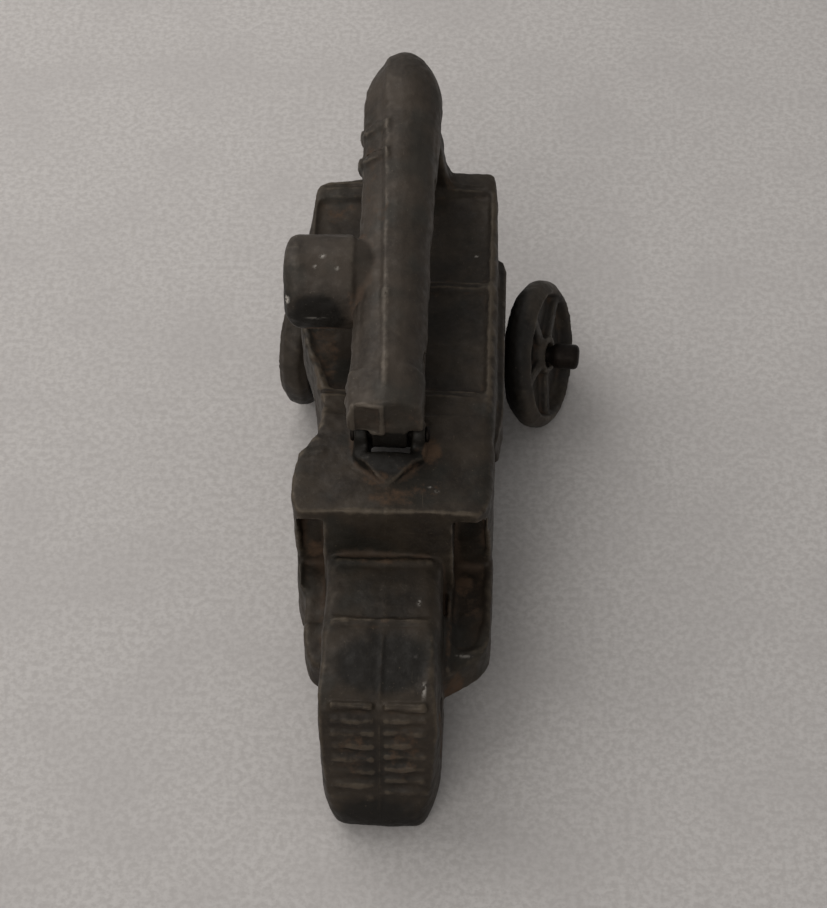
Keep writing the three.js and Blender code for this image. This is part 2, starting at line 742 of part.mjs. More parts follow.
// Half of a wheel's section, as [radius, place along its axis], with the spoked face at the top.
const RIM_INNER = WHEEL_RADIUS - 1.7;
const WHEEL_PROFILE = [
  [HUB_BORE, -HUB_WIDTH / 2],
  [HUB_RADIUS, -HUB_WIDTH / 2],
  [HUB_RADIUS + 0.2, -0.6],
  [RIM_INNER - 0.3, -0.6],
  [RIM_INNER, -WHEEL_WIDTH / 2 + 0.3],
  [RIM_INNER + 0.5, -WHEEL_WIDTH / 2],
  [WHEEL_RADIUS - 0.9, -WHEEL_WIDTH / 2 + 0.4],
  [WHEEL_RADIUS - 0.2, -1],
  [WHEEL_RADIUS, 0],
  [WHEEL_RADIUS - 0.2, 1],
  [WHEEL_RADIUS - 0.9, WHEEL_WIDTH / 2 - 0.4],
  [RIM_INNER + 0.5, WHEEL_WIDTH / 2],
  [RIM_INNER, WHEEL_WIDTH / 2 - 0.3],
  [RIM_INNER - 0.3, 0.2],
  [HUB_RADIUS + 0.2, 0.2],
  [HUB_RADIUS, HUB_WIDTH / 2],
  [HUB_BORE, HUB_WIDTH / 2],
  [HUB_BORE, -HUB_WIDTH / 2],
];

// Height of a leaning wheel's centre above the ground that it stands on.
function standingHeight(axis) {
  const reach = WHEEL_PROFILE.map(([radius, along]) => (
    radius * Math.sqrt(1 - axis.z ** 2) - along * axis.z
  ));
  return Math.max(...reach);
}

const AXLE_HEIGHT = (standingHeight(LEFT_WHEEL_AXIS) + standingHeight(RIGHT_WHEEL_AXIS)) / 2;

function axlePoint(x) {
  return new THREE.Vector3(x, AXLE_Y - x * Math.tan(AXLE_YAW), AXLE_HEIGHT);
}

// The wheel's axis is X and its open, spoked face is at +X.
function wheel(name, x, axis) {
  const disc = toSolid(turned(WHEEL_PROFILE, 44));
  const length = RIM_INNER - HUB_RADIUS + 0.3;
  const spokes = [];
  for (let index = 0; index < SPOKES; index += 1) {
    const spoke = new THREE.BoxGeometry(1.3, length, 1.4);
    spoke.translate(0.55, HUB_RADIUS + length / 2 - 0.2, 0);
    spoke.rotateX((index / SPOKES) * 2 * Math.PI + 0.4);
    spokes.push(toSolid(spoke));
  }
  const mesh = toMesh(name, joined([disc, ...spokes]), wheelMetal);
  mesh.quaternion.setFromUnitVectors(new THREE.Vector3(1, 0, 0), axis);
  mesh.position.copy(axlePoint(x)).setZ(standingHeight(axis));
  return mesh;
}

// The rod keeps the loose wheels on by its thicker ends; the right end stands out further.
function rearAxle() {
  const end = 1.7;
  const leftStart = LEFT_WHEEL_X - HUB_WIDTH / 2 - 0.75;
  const rightStart = RIGHT_WHEEL_X + HUB_WIDTH / 2 + 0.75;
  const leftEnd = leftStart - 0.8;
  const rightEnd = rightStart + 3.1;
  const geometry = turned([
    [0, leftEnd],
    [end - 0.5, leftEnd],
    [end, leftEnd + 0.5],
    [end, leftStart],
    [AXLE_RADIUS, leftStart],
    [AXLE_RADIUS, rightStart - 0.5],
    [end, rightStart + 0.1],
    [end, rightEnd - 0.4],
    [end - 0.4, rightEnd],
    [0, rightEnd],
  ], 20);
  const mesh = toMesh('rear_axle', toSolid(geometry), axleSteel);
  mesh.rotation.z = -AXLE_YAW;
  mesh.position.copy(axlePoint(0));
  return mesh;
}

// The pin that the boom tips on, with a low dome at each end, outside of the lugs.
function pivotPin() {
  const head = 1.2;
  const dome = 0.5;
  const end = LUG_OUTER + CLEAR;
  const geometry = turned([
    [0, -end - dome],
    [head * 0.6, -end - dome * 0.75],
    [head, -end],
    [PIVOT_RADIUS, -end],
    [PIVOT_RADIUS, end],
    [head, end],
    [head * 0.6, end + dome * 0.75],
    [0, end + dome],
  ], 16);
  const mesh = toMesh('boom_pivot_pin', toSolid(geometry), rivetSteel);
  mesh.position.copy(PIVOT);
  return mesh;
}

function rivetMesh(shape) {
  return toMesh(shape.name, rivetSolid(shape), rivetSteel);
}

// ---------------------------------------------------------------- assembly

function bodyGroup() {
  const casting = bodyCasting();
  const group = new THREE.Group();
  group.add(toMesh('body_left_half', leftHalf(casting), bodyMetal));
  group.add(toMesh('body_right_half', rightHalf(casting), bodyMetal));
  BODY_RIVETS.forEach((rivet) => group.add(rivetMesh(rivet)));
  group.add(pivotPin());
  return group;
}

function boomGroup() {
  const casting = boomCasting();
  const leftExtras = joined([boomBands(), sideDrum()]);
  const group = new THREE.Group();
  group.add(toMesh('boom_left_half', boomHalf(casting.add(boomHalf(leftExtras, -1)), -1), boomMetal));
  group.add(toMesh('boom_right_half', boomHalf(casting, 1), boomMetal));
  BOOM_RIVETS.forEach((rivet) => group.add(rivetMesh(rivet)));
  return group;
}

function runningGear() {
  const group = new THREE.Group();
  group.add(rearAxle());
  group.add(wheel('left_wheel', LEFT_WHEEL_X, LEFT_WHEEL_AXIS));
  group.add(wheel('right_wheel', RIGHT_WHEEL_X, RIGHT_WHEEL_AXIS));
  return group;
}

const toy = new THREE.Group();
toy.add(bodyGroup(), boomGroup(), runningGear());

// The finished frame has its origin on the ground, at the middle of the toy's footprint.
toy.updateMatrixWorld(true);
const bounds = new THREE.Box3().setFromObject(toy, true);
toy.position.set(-(bounds.min.x + bounds.max.x) / 2, -(bounds.min.y + bounds.max.y) / 2, -bounds.min.z);

export default toy;
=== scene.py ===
"""The looks of a cast toy truck with a tipping boom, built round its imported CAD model.

Each casting is remeshed finely from its CAD nodes, worn round and sculpted in millimetres, with x from
the seam between its halves, y from the foot of the grille and z from the ground, and cut at the seam.
"""

import math

import bmesh
import bpy
import numpy as np
from mathutils import Matrix, Vector, noise
from mathutils.bvhtree import BVHTree


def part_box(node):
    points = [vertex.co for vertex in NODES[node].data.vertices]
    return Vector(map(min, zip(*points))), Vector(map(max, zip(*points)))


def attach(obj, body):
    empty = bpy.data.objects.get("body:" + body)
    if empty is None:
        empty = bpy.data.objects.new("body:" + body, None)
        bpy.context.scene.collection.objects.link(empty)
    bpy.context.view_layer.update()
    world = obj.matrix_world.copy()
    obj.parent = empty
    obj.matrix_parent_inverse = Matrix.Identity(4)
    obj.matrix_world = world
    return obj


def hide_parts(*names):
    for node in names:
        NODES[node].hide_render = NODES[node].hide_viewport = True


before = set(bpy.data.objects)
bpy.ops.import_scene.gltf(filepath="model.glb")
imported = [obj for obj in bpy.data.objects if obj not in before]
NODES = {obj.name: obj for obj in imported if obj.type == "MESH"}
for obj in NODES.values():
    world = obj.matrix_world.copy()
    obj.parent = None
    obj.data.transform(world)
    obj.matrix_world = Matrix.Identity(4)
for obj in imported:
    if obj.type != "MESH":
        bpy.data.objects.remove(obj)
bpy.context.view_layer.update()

MM = 0.001

# ---------------------------------------------------------------- driving dimensions, millimetres

NOSE_LEAN = 1.37  # how far the chin stands out in front of the grille's foot
SEAM_OVERLAP = 0.02  # how far each half is stretched past the seam before the remesh
SEAM_CRACK = 0.004  # half the visible gap between two castings
HALF_GAP = 0.17  # the CAD halves lie just less than this off their seam
CASTING_VOXEL = 0.22
WHEEL_VOXEL = 0.17
WHEEL_SEEDS = {"left": 5, "right": 6}  # each wheel's uneven skin

BOOM_START_X, BOOM_START_Y, BOOM_START_Z = -0.35, 33.3, 32.2
BOOM_TURN = math.radians(2)
BOOM_RISE = 0.176  # the slope of the boom at rest
HOOD_BARS = ((14.1, 0.012, 0.09), (22.6, 0.014, 0.07))  # (y, bow, height)
DECK_BARS_Y = (43.6, 62.4, 80.2)
BREECH_KNOBS_Y = (32.9, 35.2, 37.4)

AXLE_CENTRE = (0, 69.4, 9.6)
AXLE_YAW = math.radians(5.9)
BODY_RIVET_HEAD = 1.65
BOOM_RIVET_HEAD = 1.15
RIVET_DOME = 0.06
SHANK_SHARE = 0.55  # the radius of a rivet's shank for one of its head
PIN_HEAD = 1.0
PIN_DOME = 0.2
PIN_INSET = 0.4  # how far the pin's heads sit inside its CAD ends
TURNED_SEGMENTS = 32

FLOOR_SIZE = 2.4  # metres
CAMERA_TARGET = (2.16, 45.33, 14.2)
CAMERA_DISTANCE = 0.32  # metres
CAMERA_AZIMUTH = math.radians(3)
CAMERA_ELEVATION = math.radians(48)
CAMERA_ROLL = math.radians(1)
CAMERA_LENS = 102.26

LEFT_FLANK, RIGHT_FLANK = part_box("body_left_half"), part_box("body_right_half")
ORIGIN = Vector((
    (LEFT_FLANK[1].x + RIGHT_FLANK[0].x) / 2,
    LEFT_FLANK[0].y + NOSE_LEAN * MM,
    0,
))


def at(x, y, z):
    """A place in the frame from millimetres off the seam, the grille's foot and the ground."""
    return ORIGIN + Vector((x, y, z)) * MM


def new_object(name, data):
    made = bpy.data.objects.new(name, data)
    bpy.context.collection.objects.link(made)
    return made


class Seam:
    """The upright plane between two half castings; across points to the right half."""

    def __init__(self, x, y, lean=0.0):
        self.foot = at(x, y, 0)
        self.across = Vector((math.cos(lean), math.sin(lean), 0))

    def off(self, place):
        """How far a place lies off the plane, in metres."""
        return (place - self.foot).dot(self.across)


BODY_SEAM = Seam(0, 0)
BOOM_SEAM = Seam(BOOM_START_X, BOOM_START_Y, BOOM_TURN)

# ---------------------------------------------------------------- clay: a fine mesh that can be worked


def smoothstep(share):
    share = np.clip(share, 0, 1)
    return share * share * (3 - 2 * share)


def unit(direction):
    direction = np.array(direction, float)
    return direction / np.linalg.norm(direction)


def near(values, middle, reach):
    """1 where the values meet the middle, falling softly to 0 at the reach."""
    return smoothstep(1 - np.abs(values - middle) / reach)


def within(values, low, high, fade):
    """1 between low and high, falling softly to 0 past both."""
    return smoothstep((values - low) / fade + 1) * smoothstep((high - values) / fade + 1)


def distance_to_path(points, path):
    """The distance of each point from an open line through the given places."""
    nearest = np.full(len(points), np.inf)
    for start, end in zip(path[:-1], path[1:]):
        start, end = np.array(start, float), np.array(end, float)
        along = end - start
        share = np.clip((points - start) @ along / (along @ along), 0, 1)
        gap = np.linalg.norm(points - (start + share[:, None] * along), axis=1)
        nearest = np.minimum(nearest, gap)
    return nearest


SOFTEN_SHARE = 0.6
SETTLE_SHARES = (0.5, -0.52)  # a smoothing step and a slightly larger step back
CREST_SHARE = 0.7
GRAIN_FALLOFF, GRAIN_STEP, GRAIN_OCTAVES = 0.8, 2.1, 3


class Clay:
    """A closed, finely remeshed copy of CAD nodes, worked in millimetres."""

    def __init__(self, name, nodes, voxel, seam=None):
        self.name = name
        self.nodes = nodes
        self.seam = seam
        raw = bmesh.new()
        for node in nodes:
            raw.from_mesh(NODES[node].data)
        bmesh.ops.remove_doubles(raw, verts=raw.verts, dist=1e-7)
        if seam:
            self.close_seam(raw)
        mesh = bpy.data.meshes.new(name)
        raw.to_mesh(mesh)
        raw.free()
        source = new_object(name + "_raw", mesh)
        remesh = source.modifiers.new("remesh", "REMESH")
        remesh.mode = "VOXEL"
        remesh.voxel_size = voxel * MM
        graph = bpy.context.evaluated_depsgraph_get()
        self.mesh = bpy.data.meshes.new_from_object(source.evaluated_get(graph))
        bpy.data.objects.remove(source)
        self.mesh.name = name
        self.points = self.read_points()
        self.edges = np.zeros(len(self.mesh.edges) * 2, np.int32)
        self.mesh.edges.foreach_get("vertices", self.edges)
        self.edges = self.edges.reshape(-1, 2)
        self.degree = np.bincount(self.edges.ravel(), minlength=len(self.points)).clip(1)

    def close_seam(self, raw):
        """Stretches both halves to just past the seam plane, so that they remesh as one."""
        for vert in raw.verts:
            off = self.seam.off(vert.co)
            if abs(off) < HALF_GAP * MM:
                vert.co -= self.seam.across * (off + math.copysign(SEAM_OVERLAP * MM, off))

    def read_points(self):
        """The mesh's vertices, in millimetres."""
        flat = np.zeros(len(self.mesh.vertices) * 3)
        self.mesh.vertices.foreach_get("co", flat)
        return (flat.reshape(-1, 3) - np.array(ORIGIN)) / MM

    def store(self):
        """Writes the worked points back into the mesh."""
        self.mesh.vertices.foreach_set("co", (self.points * MM + np.array(ORIGIN)).ravel())
        self.mesh.update()

    def normals(self):
        self.store()
        flat = np.zeros(len(self.points) * 3)
        self.mesh.vertex_normals.foreach_get("vector", flat)
        return flat.reshape(-1, 3)

    def averaged(self, values):
        """Each vertex's mean over its neighbours, for one value or three per vertex."""
        a, b = self.edges[:, 0], self.edges[:, 1]
        count = len(self.points)

        def one(column):
            total = np.bincount(a, column[b], count) + np.bincount(b, column[a], count)
            return total / self.degree

        if values.ndim == 1:
            return one(values)
        return np.stack([one(values[:, axis]) for axis in range(3)], axis=1)

    def relax(self, rounds, share=0.5, where=None):
        """Wears edges round. where is a share for each vertex."""
        weight = 1 if where is None else where[:, None]
        for _ in range(rounds):
            self.points = self.points + (self.averaged(self.points) - self.points) * share * weight

    def soften(self, rounds, where):
        """Wears only a region down, a little faster than relax does."""
        self.relax(rounds, SOFTEN_SHARE, where)

    def settle(self, rounds):
        """Takes out the steps that the voxels leave, without shrinking."""
        for _ in range(rounds):
            for share in SETTLE_SHARES:
                self.relax(1, share)

    def off_seam(self):
        """Each vertex's distance from the seam plane, with the right half above 0."""
        foot = np.array(self.seam.foot - ORIGIN) / MM
        return (self.points - foot) @ np.array(self.seam.across)

    def raise_by(self, lift, facing=None):
        """Lifts each vertex along its normal, only where that normal looks the given way."""
        normals = self.normals()
        if facing is not None:
            lift = lift * smoothstep((normals @ unit(facing) - 0.2) / 0.4)
        self.points = self.points + normals * lift[:, None]

    def stroke(self, path, width, height, facing=None, end_fade=0.0):
        """Raises, or with a negative height sinks, a soft line along a path."""
        lift = height * smoothstep(1 - distance_to_path(self.points, path) / width)
        if end_fade:
            ends = np.minimum(
                np.linalg.norm(self.points - np.array(path[0]), axis=1),
                np.linalg.norm(self.points - np.array(path[-1]), axis=1),
            )
            lift = lift * smoothstep(ends / end_fade)
        self.raise_by(lift, facing)

    def push(self, centre, radius, move):
        """Moves what lies near a place by a vector, fading out with distance."""
        gap = np.linalg.norm((self.points - np.array(centre)) / np.array(radius), axis=1)
        self.points += smoothstep(1 - gap)[:, None] * np.array(move)

    def grain(self, size, height, seed):
        """Uneven casting skin: a soft noise along the normals."""
        normals = self.normals()
        offset = Vector((seed * 17.3, seed * 5.9, seed * 11.7))
        lift = [
            noise.fractal(Vector(p) / size + offset, GRAIN_FALLOFF, GRAIN_STEP, GRAIN_OCTAVES)
            for p in self.points.tolist()
        ]
        self.points += normals * (height * np.array(lift))[:, None]

    def crest(self, rounds):
        """How far each vertex stands above its smoothed surroundings: edges above 0, hollows below."""
        normals = self.normals()
        level = self.points
        for _ in range(rounds):
            level = level + (self.averaged(level) - level) * CREST_SHARE
        return ((self.points - level) * normals).sum(1)

    def note(self, label, values):
        """Stores a value per vertex, for a material to read."""
        layer = self.mesh.attributes.get(label) or self.mesh.attributes.new(label, "FLOAT", "POINT")
        layer.data.foreach_set("value", values.astype(np.float32))

    def keep_inside(self):
        """Keeps the piece inside the box of its CAD nodes."""
        boxes = [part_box(node) for node in self.nodes]
        low = np.array([min(b[0][axis] for b in boxes) for axis in range(3)])
        high = np.array([max(b[1][axis] for b in boxes) for axis in range(3)])
        origin = np.array(ORIGIN)
        self.points = np.clip(self.points, (low - origin) / MM, (high - origin) / MM)

    def object(self):
        self.store()
        for polygon in self.mesh.polygons:
            polygon.use_smooth = True
        return new_object(self.name, self.mesh)


# ---------------------------------------------------------------- dirt and wear, worked out from the shapes

SPHERE_RAYS = 32
OCCLUSION_REACH = 9  # how far away something may be and still give shelter
RAY_LIFT = 0.25  # how far off the surface a ray starts
LEAST_LEAN = 0.1  # rays flatter than this to the surface are left out
CELL = 0.9
CELL_BASE = 4099  # more than the number of cells along any axis
SHELTER_BLUR_ROUNDS = 5
FINE_CREST, BROAD_CREST = 0.07, 0.35  # heights that count as a full edge and as full relief
FINE_CREST_ROUNDS, BROAD_CREST_ROUNDS = 5, 32


def ray_fan():
    """Directions spread evenly over a sphere."""
    golden = math.pi * (3 - math.sqrt(5))
    rays = []
    for index in range(SPHERE_RAYS):
        z = 1 - (2 * index + 1) / SPHERE_RAYS
        r = math.sqrt(1 - z * z)
        rays.append(Vector((r * math.cos(golden * index), r * math.sin(golden * index), z)))
    return rays


def shelter(clay, tree):
    """How shut in each vertex is, from 0 in the open to 1, cast from one vertex per cell."""
    normals = clay.normals()
    cells = np.floor(clay.points / CELL).astype(np.int64)
    axis = np.argmax(np.abs(normals), axis=1)
    facing = axis * 2 + (np.take_along_axis(normals, axis[:, None], 1)[:, 0] > 0)
    keys = ((cells[:, 0] * CELL_BASE + cells[:, 1]) * CELL_BASE + cells[:, 2]) * 6 + facing
    _, first, inverse = np.unique(keys, return_index=True, return_inverse=True)
    rays = ray_fan()
    shut = np.zeros(len(first))
    for row, vertex in enumerate(first):
        normal = Vector(normals[vertex])
        start = ORIGIN + Vector(clay.points[vertex]) * MM + normal * RAY_LIFT * MM
        total = hits = 0.0
        for ray in rays:
            lean = ray.dot(normal)
            if lean <= LEAST_LEAN:
                continue
            total += lean
            below = start.z + ray.z * OCCLUSION_REACH * MM < 0
            if below or tree.ray_cast(start, ray, OCCLUSION_REACH * MM)[0] is not None:
                hits += lean
        shut[row] = hits / total
    values = shut[inverse.ravel()]
    for _ in range(SHELTER_BLUR_ROUNDS):
        values = clay.averaged(values)
    return values


def spots(clay, places):
    """The strongest of several soft blots, from (centre, radius, strength) rows."""
    total = np.zeros(len(clay.points))
    for centre, radius, strength in places:
        gap = np.linalg.norm((clay.points - np.array(centre)) / np.array(radius), axis=1)
        total = np.maximum(total, strength * smoothstep((1 - gap) * 1.6))
    return total


def note_wear(clay, tree, marks):
    """Stores the edges, hollows, sheltered places and marks of a piece for its material."""
    fine, broad = clay.crest(FINE_CREST_ROUNDS), clay.crest(BROAD_CREST_ROUNDS)
    clay.note("edge", np.clip(fine / FINE_CREST, -1, 1))
    clay.note("relief", np.clip(broad / BROAD_CREST, -1, 1))
    clay.note("shelter", shelter(clay, tree))
    for label, places in marks.items():
        clay.note(label, spots(clay, places))


# ---------------------------------------------------------------- the two halves of a casting


def cut_half(clay, name, side):
    """One half of a casting as a closed piece: side is -1 for the left, 1 for the right."""
    half = bmesh.new()
    half.from_mesh(clay.mesh)
    seam = clay.seam
    outwards = seam.across * -side
    bmesh.ops.bisect_plane(
        half,
        geom=list(half.verts) + list(half.edges) + list(half.faces),
        plane_co=seam.foot,
        plane_no=outwards,
        clear_outer=True,
    )
    rim = [edge for edge in half.edges if edge.is_boundary]
    for edge in rim:
        edge.smooth = False
    bmesh.ops.triangle_fill(half, edges=rim, use_beauty=True, normal=outwards)
    for vert in half.verts:
        off = seam.off(vert.co)
        if abs(off) < SEAM_CRACK * MM:
            vert.co += seam.across * (side * SEAM_CRACK * MM - off)
    for face in half.faces:
        face.smooth = True
    mesh = bpy.data.meshes.new(name)
    half.to_mesh(mesh)
    half.free()
    return new_object(name, mesh)


# ---------------------------------------------------------------- the castings, worked one by one

UP = (0, 0, 1)
UP_LEFT = (-0.5, 0, 0.7)
FORWARD = (0, -1, 0)


def seam_lines(clay):
    """The soft raised line that the joint of the two halves leaves on grille, hood and roof."""
    _, y, z = clay.points.T
    line = near(clay.off_seam(), 0, 0.45)
    clay.raise_by(line * within(y, -1, 23.2, 0.6) * within(z, 5, 21.5, 1) * 0.11, (0, -0.6, 0.8))
    _, y, z = clay.points.T
    line = near(clay.off_seam(), 0, 0.4)
    clay.raise_by(line * within(y, 22.8, 24.6, 0.3) * within(z, 21, 26.5, 0.5) * 0.07, FORWARD)
    _, y, z = clay.points.T
    clay.raise_by(near(clay.off_seam(), 0, 0.4) * within(y, 24.4, 28, 0.4) * (z > 26.5) * 0.06, UP)


def hood_lines(clay):
    """Two double lines cross the hood, a little bowed, in place of the CAD's sharper bars."""
    x, y, z = clay.points.T
    bars = within(y, 13, 24, 1) * (z > 19.4) * (z < 21.4) * (np.abs(x) < 7)
    clay.soften(5, bars)
    for middle, bow, height in HOOD_BARS:
        x, y, z = clay.points.T
        place = y - middle - bow * x ** 2 - 0.1 * np.sin(x * 1.7)
        reach = within(x, -5.9, 5.1, 0.8) * (z > 18) * (z < 21.5)
        clay.raise_by((near(place, 0.35, 0.42) - near(place, -0.45, 0.5) * 0.9) * reach * height, UP)


def grille(clay):
    """Worn ribs: wedges that fade to the outer sides, and run out into the smooth chin below."""
    x, y, z = clay.points.T
    left = within(x, -6.4, -2.8, 1.2) * (x < 0) * within(z, 5, 19.5, 1)
    right = within(x, 3.9, 6, 1.0) * (x > 0) * within(z, 5, 19.5, 1)
    fade = (left + right) * smoothstep((4 - y) / 2)
    clay.soften(4, np.clip(fade, 0, 0.7))
    x, y, z = clay.points.T
    left_ribs = np.sin(z * 2.1 + x * 0.8) * near(x, -3, 3.4)
    right_ribs = np.sin(z * 1.7 - x * 1.1) * near(x, 3, 3.2)
    clay.raise_by((left_ribs + right_ribs) * 0.13 * within(z, 6, 19, 1) * (y < 4.2), FORWARD)
    x, y, z = clay.points.T
    clay.soften(3, within(z, 5, 20.2, 0.6) * (y < 4.6) * (np.abs(x) < 6))
    run_out = smoothstep((7.2 - z) / 2) * (y < 2.5)
    clay.soften(8, run_out)


def roof_edges(clay):
    """The roof stands out as a thin worn line over the windscreen and down its right corner."""
    clay.stroke(
        [(-9.6, 24.1, 27.5), (-3, 24.3, 27.5), (7, 24.6, 27.5), (10.6, 24.6, 27.3)],
        width=0.75, height=0.12, end_fade=1,
    )
    clay.stroke(
        [(-7.5, 23.9, 26.2), (0, 23.9, 26.4), (7, 23.9, 26.2)],
        width=0.6, height=-0.1, facing=FORWARD, end_fade=1,
    )
    clay.stroke([(-7, 23.8, 25.3), (7, 23.8, 25.3)], width=0.6, height=0.07, facing=FORWARD, end_fade=1)
    clay.stroke(
        [(6.8, 23.9, 26.4), (6.7, 23.5, 20.4)],
        width=0.65, height=0.13, facing=FORWARD, end_fade=0.6,
    )
    clay.stroke([(11.2, 25, 27.2), (12, 27.4, 27), (12.1, 34, 26.9)], width=0.8, height=0.1, end_fade=1.5)


def soften_deck(clay):
    """The pans of the load deck and the ledges beside it have lost their sharp outlines."""
    x, y, z = clay.points.T
    deck = within(y, 44, 82, 1) * (z > 25.4) * (np.abs(x) < 12)
    clay.soften(7, deck)
    x, y, z = clay.points.T
    ledge = smoothstep((np.abs(x) - 11) / 0.8) * within(z, 17, 24, 1) * within(y, 38, 75, 1)
    clay.soften(12, ledge)
    clay.push((13.2, 40.5, 20.5), radius=(2.2, 5, 4), move=(-0.7, 0.3, 0))
    clay.push((13.2, 72.5, 20.5), radius=(2.2, 3, 4), move=(-0.5, -0.3, 0))


def deck_edges(clay):
    """Double lines cross the load deck, and the rims beside it are rubbed uneven."""
    for middle in DECK_BARS_Y:
        x, y, z = clay.points.T
        place = y - middle + 0.12 * np.sin(x * 0.9 + middle)
        reach = within(x, -10, 9.6, 0.8) * within(z, 26, 28, 0.3)
        clay.raise_by((near(place, 0.55, 0.45) + near(place, -0.5, 0.4)) * reach * 0.08, UP)
        clay.raise_by(near(place, 0.05, 0.4) * reach * -0.16, UP)
    x, y, z = clay.points.T
    rim = near(x, 11.5, 0.8) * within(y, 42, 79, 1.5) * (z > 25.5)
    clay.raise_by(rim * (0.1 + 0.1 * np.sin(y * 1.3) * np.sin(y * 0.47)), UP)
    x, y, z = clay.points.T
    ragged = smoothstep((-7 - x) / 1) * within(y, 33, 54, 1) * (z > 25)
    clay.raise_by(ragged * 0.16 * np.sin(y * 1.9 + 0.6) * np.sin(y * 0.8), (-0.7, 0, 0.7))
    # A sunk spot where the right ledge begins.
    clay.push((12.4, 37.4, 24.2), radius=(1.5, 2.6, 2.6), move=(-0.75, 0, -0.1))


def soften_pods(clay):
    """The rims of the pods' pans and the grooves beside the hood have worn shallow."""
    x, y, z = clay.points.T
    pods = smoothstep((np.abs(x) - 6.2) / 0.6) * within(y, 13, 29, 1) * within(z, 10.5, 14.6, 0.8)
    clay.soften(14, pods)


def nose_shape(clay):
    """The hood's front edge sags, its sides are worn down, and the chin's corners are cut away."""
    # The hood's front edge, then both corners of the chin.
    clay.push((0, 3.2, 19.6), radius=(5.4, 1.8, 1.4), move=(0, 0.1, -0.16))
    clay.push((-7, 0, 0), radius=(3.6, 6, 5), move=(0.45, 0.15, 0.3))
    clay.push((7, 0, 0), radius=(3.6, 6, 5), move=(-0.45, 0.15, 0.3))
    x, y, z = clay.points.T
    clay.soften(26, smoothstep((np.abs(x) - 3) / 2) * smoothstep((5.5 - z) / 3) * (y < 6))
    # Both sides of the hood, then the front edge of the right pod.
    clay.push((-6.8, 9, 19.8), radius=(2.2, 7, 1.6), move=(0.1, 0, -0.18))
    clay.push((5.9, 6, 17), radius=(1.6, 4.5, 3.4), move=(-0.22, 0, -0.1))
    clay.stroke([(5.2, 5.2, 19.4), (5.7, 11, 20), (6.1, 21, 20.2)], width=0.8, height=0.09, end_fade=1.5)
    clay.stroke([(-6.6, 5.4, 19.4), (-6.8, 12, 19.9), (-7, 22, 20)], width=0.8, height=0.08, end_fade=1.5)
    clay.stroke(
        [(9.4, 15.2, 13.1), (11.4, 16, 13.1), (12.2, 17.6, 13)],
        width=0.7, height=0.1, end_fade=0.8,
    )


def pedestal(clay):
    """The lugs are worn round, and the prow ahead of the boom's pin has a V-shaped rim."""
    x, y, z = clay.points.T
    lugs = within(y, 32.6, 37.6, 0.8) * smoothstep((z - 28) / 0.8) * smoothstep((5.5 - np.abs(x)) / 0.5)
    clay.soften(12, lugs)
    clay.push((0, 31.1, 29.2), radius=(5.8, 1.9, 2.6), move=(0, -0.25, 0.6))
    clay.stroke(
        [(-3.9, 31.6, 28.8), (0, 28.4, 28), (3.9, 31.6, 28.8)],
        width=0.7, height=0.12, facing=UP, end_fade=0.4,
    )


def body_clay():
    """Nose, hood, cab, pods, load deck and strut, worn and sculpted as one."""
    clay = Clay("body_casting", ["body_left_half", "body_right_half"], CASTING_VOXEL, BODY_SEAM)
    clay.settle(9)
    clay.relax(3)
    soften_deck(clay)
    soften_pods(clay)
    grille(clay)
    nose_shape(clay)
    pedestal(clay)
    seam_lines(clay)
    hood_lines(clay)
    roof_edges(clay)
    deck_edges(clay)
    clay.relax(1)
    clay.grain(size=5.5, height=0.17, seed=1)
    clay.grain(size=1.4, height=0.04, seed=2)
    clay.keep_inside()
    return clay


def boom_ridge(clay):
    """The joint of the boom is a long ridge, with a flatter face on its left."""
    _, y, z = clay.points.T
    off = clay.off_seam()
    middle = BOOM_START_Z + (y - BOOM_START_Y) * BOOM_RISE
    top = smoothstep((z - middle) / 2)
    flat = within(off, -3.4, -1.0, 0.9) * within(y, 34, 84, 3) * top
    clay.raise_by(flat * -0.32, UP)
    off = clay.off_seam()
    unsteady = 0.08 + 0.04 * np.sin(y * 0.9) * np.sin(y * 0.37)
    clay.raise_by(near(off, -0.1, 0.75) * within(y, 34.5, 85, 3) * top * unsteady, UP)


def breech(clay):
    """The front end is worn round, with a square patch in a raised rim on its left half."""
    _, y, z = clay.points.T
    clay.soften(34, smoothstep((35.4 - y) / 1.2) * smoothstep((z - 33) / 1.5))
    clay.push((2.4, 32.6, 35), radius=(3.4, 2, 3.4), move=(0, 0.5, -0.1))
    x, y, z = clay.points.T
    outside = np.maximum(np.abs(x + 2.5) - 1.7, np.abs(z - 33.6) - 2.5)
    clay.raise_by(near(outside, 0, 0.5) * (y < 35) * 0.3, (0, -1, 0.2))
    x, y, z = clay.points.T
    clay.raise_by(near(x, -0.8, 0.5) * within(z, 31.2, 36, 0.4) * (y < 35) * 0.15, (0, -1, 0.2))
    for knob in BREECH_KNOBS_Y:
        clay.push((-4.7, knob, 34), radius=(1.0, 0.8, 1.4), move=(-0.32, 0, 0.1))


def boom_bands_worn(clay):
    """The two bands on the left face are worn down to slanting steps."""
    clay.stroke(
        [(-5.2, 68.6, 39.6), (-4, 70.2, 42.4), (-1.8, 71.2, 44.4)],
        width=0.7, height=-0.22, facing=UP_LEFT, end_fade=1,
    )
    clay.stroke(
        [(-5.2, 73.6, 40.6), (-4, 75.4, 43.4), (-1.8, 76.4, 45.2)],
        width=0.7, height=-0.2, facing=UP_LEFT, end_fade=1,
    )


def boom_clay():
    """The boom with its drum."""
    clay = Clay("boom_casting", ["boom_left_half", "boom_right_half"], CASTING_VOXEL, BOOM_SEAM)
    clay.settle(9)
    clay.relax(4)
    boom_ridge(clay)
    breech(clay)
    boom_bands_worn(clay)
    clay.relax(1)
    clay.grain(size=5, height=0.16, seed=3)
    clay.grain(size=1.3, height=0.035, seed=4)
    clay.keep_inside()
    return clay


